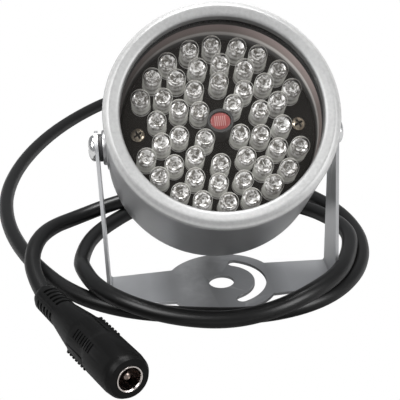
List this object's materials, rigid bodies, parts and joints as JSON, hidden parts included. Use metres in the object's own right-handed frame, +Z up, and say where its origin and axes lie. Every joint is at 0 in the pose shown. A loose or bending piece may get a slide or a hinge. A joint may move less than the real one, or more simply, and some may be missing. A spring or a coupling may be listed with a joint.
{
  "type": "infrared illuminator",
  "caption": "Round LED lamp head in a stamped U bracket with pivot screws, rubber cord gland, loose lead and DC barrel jack.",
  "frame": {"origin": "centre of the bracket's base disc and its round hole, on the underside that rests on the floor", "axes": "+Z up out of the base through the centre hole, the lamp looks towards -Y and up, +X to the right of someone who faces the lamp"},
  "size_m": [0.1131, 0.2136, 0.0803],
  "materials": {
    "ring_aluminium": "bright satin",
    "glass": "clear polished",
    "rubber_black": "matt",
    "housing_aluminium": "satin",
    "board_black": "matt",
    "led_clear": "water clear",
    "photocell_red": "gloss",
    "brass": "satin",
    "resistor_body": "gloss",
    "core_red": "satin",
    "cord_black": "satin",
    "bracket_steel": "satin",
    "chrome_screw": "bright",
    "washer_dark": "matt",
    "nickel": "bright"
  },
  "bodies": {
    "bracket": {"bracket": "bracket_steel", "lead": "cord_black", "jack_body": "cord_black", "jack_sleeve": "nickel", "jack_insert": "board_black", "jack_pin": "nickel"},
    "head": {"front_ring": "ring_aluminium", "front_glass": "glass", "glass_gasket": "rubber_black", "housing": "housing_aluminium", "led_board": "board_black", "led_row_outer": "led_clear", "led_row_second": "led_clear", "led_row_third": "led_clear", "led_row_inner": "led_clear", "photocell": "photocell_red", "photocell_sleeve": "rubber_black", "board_screws": "brass", "board_standoffs": "brass", "board_resistors": "resistor_body", "board_transistor": "board_black", "cord_grommet": "rubber_black", "inner_cord": "cord_black", "core_wire_red": "core_red", "core_wire_black": "cord_black", "side_screw_left": "chrome_screw", "side_screw_right": "chrome_screw", "washer_left": "washer_dark", "washer_right": "washer_dark", "lead_drop": "cord_black"}
  },
  "joints": [
    {"name": "head_tilt", "type": "hinge", "parent": "bracket", "child": "head", "pos_m": [0, 0, 0.04404], "axis": [1, 0, 0], "range_deg": [-50, 85], "deforming": ["lead_drop"]}
  ]
}
